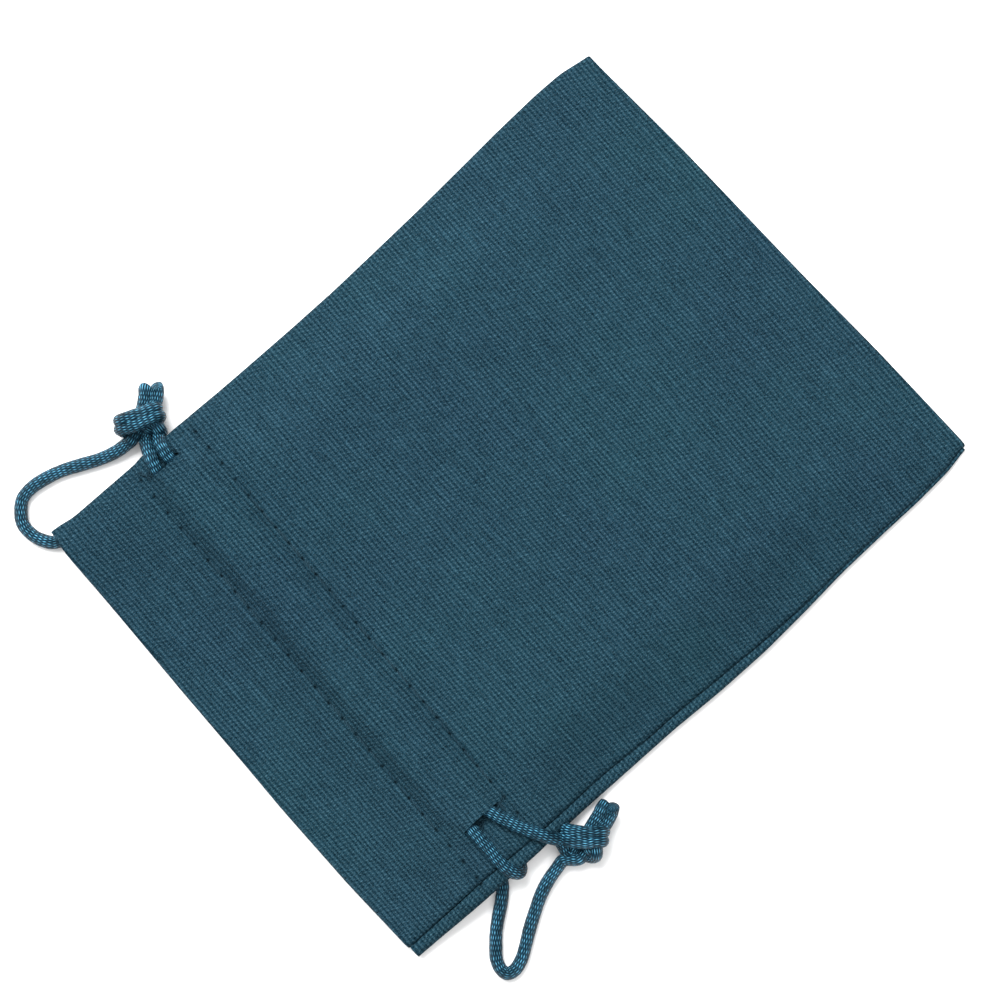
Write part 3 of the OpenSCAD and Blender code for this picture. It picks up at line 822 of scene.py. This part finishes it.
def back_cloth(name):
    """The back cloth with its turned-in end, rolled round the right side to the front, up to the seam."""
    kinds, shares = hem_rows(84, 80, 1)
    main = np.r_[spaced(BACK_LEFT, 0.3, LEFT_SLIT[0] - CUT_HALF),
                 spaced(LEFT_SLIT[0] + CUT_HALF, 0.25, -40, 0.5, -30, 0.8, 26, 0.5, 34, 0.25,
                        RIGHT_SLIT[0] - CUT_HALF),
                 spaced(RIGHT_SLIT[0] + CUT_HALF, 0.25, 38, 0.45, BACK_RIGHT)]
    column = np.r_[main, np.full(RIGHT_WRAPS, main[-1])]
    mouth = mouth_y(column) + BACK_SHORTER
    y, flat_y = row_places(kinds, shares, column, mouth, BACK_FACING_V)
    end = (fold_y(column) - FOLD_R)[:, None]
    y = np.where((kinds == "body")[None, :], np.minimum(y, end - 0.02), y)
    x = np.repeat(column[:, None], len(kinds), 1)
    inner = (x > LEFT_SLIT[0]) & (x < RIGHT_SLIT[0])
    left_end = left_x(y) + edge_radius(left_x(y) + 1, y) + UNDER_W + BUTT_GAP
    x = x + (left_end - BACK_LEFT) * np.clip(1 - (x - BACK_LEFT), 0, 1)
    radius = edge_radius(right_x(y) - 1, y)
    centre = right_x(y) - radius
    x = x + (centre - BACK_RIGHT) * np.clip(1 - (BACK_RIGHT - x) / 5, 0, 1)
    flat_x = x.copy()
    is_facing, is_mouth = ((kinds == kind)[None, :] for kind in ("facing", "mouth"))
    outer = ~(is_facing | is_mouth)
    start = (mouth + MOUTH_R)[:, None] + 0 * y
    z = np.where(is_facing, back_facing_z(x, y, inner), back_z(x, y, inner))
    z = np.where(is_mouth, back_z(x, start, inner) + MOUTH_R * (1 + np.cos(shares)), z)
    z = z + np.where(outer, BACK_DIP * row_dip(across_hem(x, y)) * (np.abs(x) < ROW_END), 0)
    x = np.where(outer, x + slit_shift(x, y, inner), x)
    place = np.stack([x, y, z], 2)
    roll_right(place, flat_x, centre, radius, y - start)
    keep = np.ones((len(column) - 1, len(kinds) - 1), bool)
    keep[len(main) - 1:, np.isin(kinds[1:], ("facing", "mouth"))] = False
    cuts = []
    for slit, _ in SLITS:
        gone, cut = slit_cells(column, y, slit, kinds)
        keep &= ~gone
        cuts.append(cut)
    return cloth(name, place, np.stack([flat_x, flat_y], 2), keep, cuts, canvas)


front_left = front_half("front_cloth_left", -1)
front_right = front_half("front_cloth_right", 1)
back = back_cloth("back_cloth")


# ---- cord routes, knots and tubes

RUN_Z = 5.25  # height of the cords in the front of the channel
# An overhand knot tied in both ends of a cord together, listed point by point: across the knot, towards
# its cut ends, and up from the table. Each end goes up through the knot, over at the right, down across the
# front as one strand of the wide band, round the left, behind, and up through the middle to its cut end.
KNOT_RIGHT_END = [
    (0.9, -3.4, 2.7), (1.5, -1.7, 2.6), (2.4, -0.3, 2.6), (3.2, 0.5, 3.3), (3.2, 0.7, 4.6), (2.2, 0.4, 5.4),
    (0.6, -0.4, 5.65), (-1.1, -1.0, 5.35), (-2.7, -1.4, 4.4), (-3.3, -1.5, 3.1), (-2.6, -1.8, 1.8),
    (-1.0, -2.3, 1.15), (1.0, -2.6, 1.1), (2.6, -2.5, 1.7), (3.4, -2.0, 3.0), (3.1, -1.2, 4.1),
    (2.3, 0.1, 4.15), (2.1, 1.5, 3.9), (2.6, 2.9, 3.4), (2.8, 4.2, 3.1), (2.8, 5.3, 3.0)]
KNOT_LEFT_END = [
    (-1.5, -3.2, 2.4), (-0.6, -1.6, 2.6), (0.6, 0.1, 2.6), (2.0, 1.5, 2.8), (2.8, 2.0, 3.8),
    (2.2, 1.9, 5.0), (0.8, 1.2, 5.6), (-1.0, 0.6, 5.4), (-2.7, 0.1, 4.6), (-3.4, -0.1, 3.2),
    (-2.7, -0.3, 1.9), (-1.0, -0.6, 1.2), (0.8, -0.9, 1.1), (2.2, -1.2, 1.5), (2.5, -1.3, 2.6),
    (1.7, -1.2, 3.7), (0.7, -0.3, 4.1), (0.4, 1.2, 3.9), (0.6, 2.8, 3.4), (0.8, 4.1, 3.1), (0.8, 5.1, 3.0)]
LEFT_KNOT = dict(centre=(-50.5, -36.95), heading=(-0.7455, 0.6665), scale=1.0, stretch=1.0, tail=0.4)
RIGHT_KNOT = dict(centre=(49.9, -28.1), heading=(-0.4, 0.9165), scale=0.9, stretch=1.2, tail=0.9)
KNOT_R = 1.12
KNOT_MIDDLE = 1.8  # between the two cut ends, across the knot
KNOT_LOW = 1.2  # height of its lowest strand's middle
KNOT_LIFT = 0.14  # of the whole route


def knot_points(route, centre, heading, scale, stretch, tail):
    """A knot's points in the pouch's frame. heading is the way its cut ends point, stretch is how much longer
    the knot is that way, and tail is how far the ends reach past the route, one over the other."""
    u, w, z = route[-1]
    beside = u - KNOT_MIDDLE
    tip = (KNOT_MIDDLE + beside * (1 - 0.35 * tail), w + tail, z + beside * 0.8 * tail)
    placed = []
    for u, w, z in route + [tip]:
        across, along = scale * u, scale * stretch * w
        placed.append((centre[0] + across * heading[1] + along * heading[0],
                       centre[1] + along * heading[1] - across * heading[0],
                       KNOT_LOW + (z + KNOT_LIFT - KNOT_LOW) * (0.4 + 0.6 * scale)))
    return placed


left_leg_route = [
    (-30, -39.95, 5.25), (-34, -40.1, 5.25), (-38, -40.2, 5.25), (-41, -40.25, 5.4), (-42.6, -40.05, 5.95),
    (-44.2, -39.6, 6.15), (-45.7, -39.1, 5.5), (-46.8, -38.8, 4.3)]
right_leg_route = [
    (30, -37.4, 5.25), (33, -37.3, 5.25), (35.2, -37.0, 5.4), (36.8, -36.5, 6.0), (39.8, -35.4, 6.35),
    (42.2, -34.3, 6.35), (44.5, -33.1, 6.0), (46.4, -32.1, 5.1), (47.6, -31.5, 3.9)]
left_loop_route = [
    (-14.5, -39.9, 1.62), (-22, -39.9, 1.62), (-30, -39.9, 1.62), (-36, -39.9, 1.62), (-40, -39.8, 1.62),
    (-42.6, -40.7, 1.35), (-43.9, -43.5, 1.2), (-43.8, -47, 1.15), (-43.6, -52, 1.15), (-43.7, -57, 1.15),
    (-44.9, -60.9, 1.15), (-46.7, -62.5, 1.15), (-48.8, -63.2, 1.15), (-51, -63.1, 1.15),
    (-52.9, -61.8, 1.15), (-54.1, -60.2, 1.15), (-54.4, -57.8, 1.15), (-53.9, -54.8, 1.15),
    (-53, -52, 1.15), (-51.7, -49.2, 1.2), (-50.4, -46.4, 1.2), (-49.5, -43.6, 1.5), (-49.2, -41.3, 2.0)]
right_loop_route = [
    (14.5, -41.6, 1.62), (22, -41.6, 1.62), (30, -41.6, 1.62), (34.6, -41.6, 1.62), (36.6, -41.7, 1.5),
    (38.6, -41.9, 1.3), (42, -42.1, 1.2), (45, -42.7, 1.15), (47.1, -43.7, 1.15), (48.8, -45.4, 1.15),
    (50.4, -47.5, 1.15), (52.1, -49.6, 1.15), (53.8, -51.2, 1.15), (55.5, -52.6, 1.15), (57.2, -53.2, 1.15),
    (58.6, -52.9, 1.15), (58.95, -51.4, 1.15), (58.3, -49.4, 1.15), (57.1, -47.5, 1.15),
    (55.6, -45.3, 1.15), (54.2, -43, 1.15), (52.8, -40.5, 1.2), (51.7, -37.9, 1.4), (51.0, -35.2, 1.7),
    (50.7, -33.2, 2.1)]
left_bridge_route = [
    (31, -41.35, 5.25), (34.4, -41.2, 5.25), (35.6, -41.0, 5.4), (37, -40.9, 6.0), (40, -40.9, 6.3),
    (43.4, -41, 6.3), (45.6, -40.8, 5.6), (47.0, -40.2, 4.2), (47.1, -39.6, 2.5), (46.2, -39.1, 1.3),
    (44, -38.9, 1.15), (38.2, -38.8, 1.2), (36, -38.7, 1.55), (34, -38.6, 1.7)]
right_bridge_route = [
    (-31, -36.3, 5.25), (-34.4, -36.5, 5.25), (-38, -37.0, 5.25), (-41, -37.3, 5.35), (-42.6, -37.3, 5.9),
    (-44.2, -37.1, 6.05), (-45.5, -36.8, 5.2), (-46.2, -36.6, 3.7), (-45.8, -36.4, 2.1),
    (-44.4, -36.3, 1.2), (-42.6, -36.3, 1.3), (-40, -36.3, 1.65), (-34, -36.3, 1.7)]
left_back_route = [
    (-14, -39.9, 1.7), (-11, -39.8, 1.4), (-8, -39.7, 1.05), (0, -39.2, 1.0), (8, -38.8, 1.05),
    (11, -38.7, 1.4), (14, -38.6, 1.7), (24, -38.6, 1.7), (34, -38.6, 1.7)]
right_back_route = [
    (-34, -36.3, 1.7), (-24, -36.4, 1.7), (-14, -36.5, 1.7), (-10, -36.9, 2.1), (-7, -37.3, 2.35),
    (0, -39.1, 2.4), (7, -40.9, 2.35), (10, -41.3, 2.1), (14, -41.5, 1.7)]
# How flat each cord is pressed where the two cross: shares of its back run, and heights there.
LEFT_PRESSED = ([0, 0.06, 0.15, 0.44, 0.53, 0.6, 1], [1, 0.8, 0.45, 0.45, 0.8, 1, 1])
RIGHT_PRESSED = ([0, 0.4, 0.47, 0.56, 0.85, 0.94, 1], [1, 1, 0.8, 0.45, 0.45, 0.8, 1])


TIP = 0.2  # how long a cut end's drawn-in part is
RUN_STEP = 0.5  # between the rings of a cord that is hidden in the channel
RUN_SIDES = 20
cord_lines = {}


def free_cord(name, points, **shape):
    piece, cord_lines[name] = tube(name, points, satin, **shape)
    return piece


def drawcord_end(name, route, knot_route, knot):
    """One end of a drawcord, from inside the channel, through its slit and its knot to its cut end."""
    in_knot = knot_points(knot_route, **knot)
    free = len(spline(route, 1.0))
    share = free / (free + len(spline(in_knot, 1.0)))
    width = ([0, share - 0.06, share + 0.06, 1], [CORD_R, CORD_R, KNOT_R, KNOT_R])
    return free_cord(name, route + in_knot, radius=width, tip=TIP)


def hidden_run(name, route, flat=None):
    piece, _ = tube(name, route, satin, step=RUN_STEP, around=RUN_SIDES, flat=flat)
    return piece


left_leg = drawcord_end("left_leg_and_knot_strand", left_leg_route, KNOT_RIGHT_END, LEFT_KNOT)
left_loop = drawcord_end("left_loop_and_knot_strand", left_loop_route, KNOT_LEFT_END, LEFT_KNOT)
right_leg = drawcord_end("right_leg_and_knot_strand", right_leg_route, KNOT_LEFT_END, RIGHT_KNOT)
right_loop = drawcord_end("right_loop_and_knot_strand", right_loop_route, KNOT_RIGHT_END, RIGHT_KNOT)
left_bridge = free_cord("left_bridge", left_bridge_route)
right_bridge = free_cord("right_bridge", right_bridge_route)
left_back_run = hidden_run("left_back_run", left_back_route, LEFT_PRESSED)
right_back_run = hidden_run("right_back_run", right_back_route, RIGHT_PRESSED)
for piece, body, nodes in ((left_loop, "left_drawcord", ("left_cord_loop", "left_knot")),
                           (right_loop, "right_drawcord", ("right_cord_loop", "right_knot")),
                           (left_bridge, "pouch", ("left_cord_bridge",)),
                           (right_bridge, "pouch", ("right_cord_bridge",)),
                           (left_back_run, "pouch", ("left_cord_back_run",)),
                           (right_back_run, "pouch", ("right_cord_back_run",))):
    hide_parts(*nodes)
    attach(piece, body)
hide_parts("left_cord_front_leg", "left_knot")
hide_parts("right_cord_front_leg", "right_knot")
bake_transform(left_leg)
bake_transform(right_leg)


def blend_front(piece):
    """Bakes where one half of a piece of the front stands into its mesh."""
    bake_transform(piece)


for cord_name, y_left, y_right in (("left", -40.2, -41.4), ("right", -36.3, -37.5)):
    middle = (y_left + y_right) / 2
    for side_name, side, end_y in (("left", -1, y_left), ("right", 1, y_right)):
        run = [(0, middle, RUN_Z), (side * 15, (middle + end_y) / 2, RUN_Z), (side * 30.6, end_y, RUN_Z)]
        piece = hidden_run(f"{cord_name}_front_run_{side_name}_half", run)
        blend_front(piece)
        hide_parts(f"{cord_name}_cord_front_run")


# ---- stitches, seams and frayed threads

THREAD_R = 0.13
THREAD_SIDES = 8
STITCH_LEN = 2.6
LAST_STITCH = 9  # on each side of the middle
# A stitch's low arch: shares of half its length, and how far out of the cloth it stands there.
STITCH_ARCH = ((-1.08, -0.3), (-0.92, -0.04), (-0.55, 0.05), (0, 0.07), (0.55, 0.05), (0.92, -0.04),
               (1.08, -0.3))


def joined(name, parts):
    """One mesh object made of several."""
    bpy.ops.object.select_all(action="DESELECT")
    for part in parts:
        part.select_set(True)
    bpy.context.view_layer.objects.active = parts[0]
    bpy.ops.object.join()
    piece = bpy.context.view_layer.objects.active
    piece.name = name
    piece.data.name = name
    return piece


def stitch(name, middle, along, out):
    """A stitch of thread, whose ends dip into their needle holes."""
    middle, along, out = (np.array(value, float) for value in (middle, along, out))
    points = [middle + along * STITCH_LEN / 2 * share + out * rise for share, rise in STITCH_ARCH]
    piece, _ = tube(name, points, thread, radius=THREAD_R, around=THREAD_SIDES, step=0.2, relief=0, wobble=0)
    return piece


def surface_point(height, x, v):
    """A point of a cloth surface at a place in the hem, with the surface's slope across the pouch."""
    xs = np.array([[x - 0.5, x, x + 0.5]])
    ys = hem_to_y(xs, v)
    z = height(xs, ys, np.ones(xs.shape, bool))[0]
    along = np.array((1.0, float(ys[0, 2] - ys[0, 0]), float(z[2] - z[0])))
    return np.array((x, float(ys[0, 1]), float(z[1]))), along / np.linalg.norm(along)


def stitch_row(name, v, sides, numbers):
    """The stitches of a hem row on both faces of its cloth: sides are (height, which way is out)."""
    parts = []
    for number in numbers:
        for k, (height, out) in enumerate(sides):
            middle, along = surface_point(height, number * STITCH_PITCH, v)
            middle[2] += out * (CLOTH_T / 2 - THREAD_R * 0.2)
            parts.append(stitch(f"stitch_{number}_{k}", middle, along, (0, 0, out)))
    return joined(name, parts)


def facing_z(x, y, inner):
    return top_z(x, y, inner, facing=True)


def back_underside(x, y, inner):
    return back_z(x, y, inner) + BACK_DIP


FRONT_FACES = ((top_z, 1), (facing_z, -1))
BACK_FACES = ((back_facing_z, 1), (back_underside, -1))
front_rows = {-1: [], 1: []}
for row_name, v in (("upper", ROW), ("lower", -ROW)):
    for side_name, side, numbers in (("left", -1, range(-LAST_STITCH, 0)),
                                     ("right", 1, range(0, LAST_STITCH + 1))):
        piece = stitch_row(f"front_{row_name}_stitches_{side_name}", v, FRONT_FACES, numbers)
        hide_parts(f"front_{row_name}_stitch_row")
        blend_front(piece)
        front_rows[side].append(piece)
    piece = stitch_row(f"back_{row_name}_stitches", v, BACK_FACES, range(-LAST_STITCH, LAST_STITCH + 1))
    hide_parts(f"back_{row_name}_stitch_row")
    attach(piece, "pouch")

ALLOWANCE_W = 7.0
ALLOWANCE_Y = (-22.0, 47.0)
ALLOWANCE_IN = 1.9  # from the side's edge to its outer edge
SEAM_FROM_EDGE = 4.6  # from the side's edge to the seam that joins front and back


def allowance_place(side, across, y, layer):
    """A point of a raw seam allowance that lies inside the pouch along one side."""
    edge = left_x(y) if side < 0 else right_x(y)
    x = edge - side * (ALLOWANCE_IN + across)
    wave = 0.10 * np.sin(0.23 * y + 1.3 * side) * across / ALLOWANCE_W
    z = back_z(x, y, np.ones_like(x, bool)) + CLOTH_T * (1.05 + layer) + wave * (layer + 0.3)
    return np.stack([x, y, z], -1)


def seam_allowance(side, layer):
    """One of the two cloths of a seam allowance."""
    across = np.linspace(0, ALLOWANCE_W - 0.35 * layer, 18)
    across, y = np.meshgrid(across, np.linspace(*ALLOWANCE_Y, 130)[::side], indexing="ij")
    keep = np.ones((across.shape[0] - 1, across.shape[1] - 1), bool)
    place = allowance_place(side, across, y, layer)
    return cloth(f"allowance_{side}_{layer}", place, np.stack([across, y], 2), keep, [], canvas_inside)


for side_name, side in (("left", -1), ("right", 1)):
    piece = joined(f"{side_name}_seam_allowance_cloth", [seam_allowance(side, layer) for layer in (0, 1)])
    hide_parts(f"{side_name}_seam_allowance")
    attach(piece, "pouch")
    stitches = []
    for y in np.arange(ALLOWANCE_Y[0] + 2, ALLOWANCE_Y[1] - 1, STITCH_PITCH):
        place = allowance_place(side, np.full(1, SEAM_FROM_EDGE - ALLOWANCE_IN), np.full(1, y), 1)[0]
        middle = place + (0, 0, CLOTH_T / 2 + THREAD_R * 0.4)
        stitches.append(stitch(f"seam_stitch_{len(stitches)}", middle, (0, 1, 0), (0, 0, 1)))
    piece = joined(f"{side_name}_seam_stitches", stitches)
    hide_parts(f"{side_name}_seam_thread")
    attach(piece, "pouch")

FRAY_SEED = 11
FRAY_STEPS = 4


def frayed_threads(name, tips, draw):
    """Short curled yarns that stand out of a slit's cut lips. tips are (x, y, z, yarns, spread)."""
    yarns = []
    for x, y, z, count, spread in tips:
        for _ in range(count):
            heading = draw.uniform(0, 2 * math.pi)
            step = draw.uniform(0.9, 1.9) / FRAY_STEPS
            bend = draw.uniform(-1.6, 1.6) / FRAY_STEPS
            points = [(x + draw.uniform(-spread, spread), y + draw.uniform(-spread, spread), z - 0.1)]
            for n in range(1, FRAY_STEPS + 1):
                turned = heading + bend * n
                points.append((points[-1][0] + math.cos(turned) * step,
                               points[-1][1] + math.sin(turned) * step, z + 0.22 * math.sin(n * 0.9)))
            yarn, _ = tube(f"yarn_{len(yarns)}", points, thread, radius=draw.uniform(0.05, 0.09), around=6,
                           step=0.15, relief=0, wobble=0)
            yarns.append(yarn)
    piece = joined(name, yarns)
    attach(piece, "pouch")
    return piece


draw = random.Random(FRAY_SEED)
left_frays = frayed_threads("left_slit_frays", [
    (-42.5, -42.2, 5.5, 8, 0.3), (-42.3, -41.0, 5.4, 3, 0.3), (-42.2, -35.6, 5.2, 4, 0.3)], draw)
right_frays = frayed_threads("right_slit_frays", [
    (36.2, -34.6, 5.3, 7, 0.35), (36.5, -36.0, 5.2, 3, 0.3), (36.6, -39.2, 5.1, 5, 0.4),
    (36.2, -42.3, 5.4, 3, 0.3)], draw)


# ---- stage and light

def area_light(name, place, size, power):
    """A square light that faces the pouch."""
    data = bpy.data.lights.new(name, "AREA")
    data.size = size
    data.energy = power
    light = bpy.data.objects.new(name, data)
    light.location = place
    light.rotation_mode = "QUATERNION"
    light.rotation_quaternion = Vector(place).to_track_quat("Z", "Y")
    scene.collection.objects.link(light)


area_light("softbox", (-0.60, 0.15, 0.85), 0.6, 22)
area_light("overhead", (0.10, 0.15, 1.3), 1.2, 11)
area_light("fill", (0.5, -0.6, 0.6), 0.9, 2)
world = bpy.data.worlds.new("studio")
world.use_nodes = True
world.node_tree.nodes["Background"].inputs["Color"].default_value = (1, 1, 1, 1)
world.node_tree.nodes["Background"].inputs["Strength"].default_value = 0.32
scene.world = world
scene.view_settings.view_transform = "Standard"

floor_mesh = bpy.data.meshes.new("floor")
floor_mesh.from_pydata([(-3, -3, 0), (3, -3, 0), (3, 3, 0), (-3, 3, 0)], [], [(0, 1, 2, 3)])
floor = bpy.data.objects.new("floor", floor_mesh)
scene.collection.objects.link(floor)
floor_shader = Shader("floor")
floor_mesh.materials.append(floor_shader.finish((0.9, 0.9, 0.9, 1), 0.9, Specular_IOR_Level=0.0))

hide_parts("back_panel", "back_hem_facing")
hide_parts("left_front_border", "front_panel", "front_hem_facing")
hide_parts("right_front_border", "front_panel", "front_hem_facing")
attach(back, "pouch")
blend_front(front_left)
blend_front(front_right)
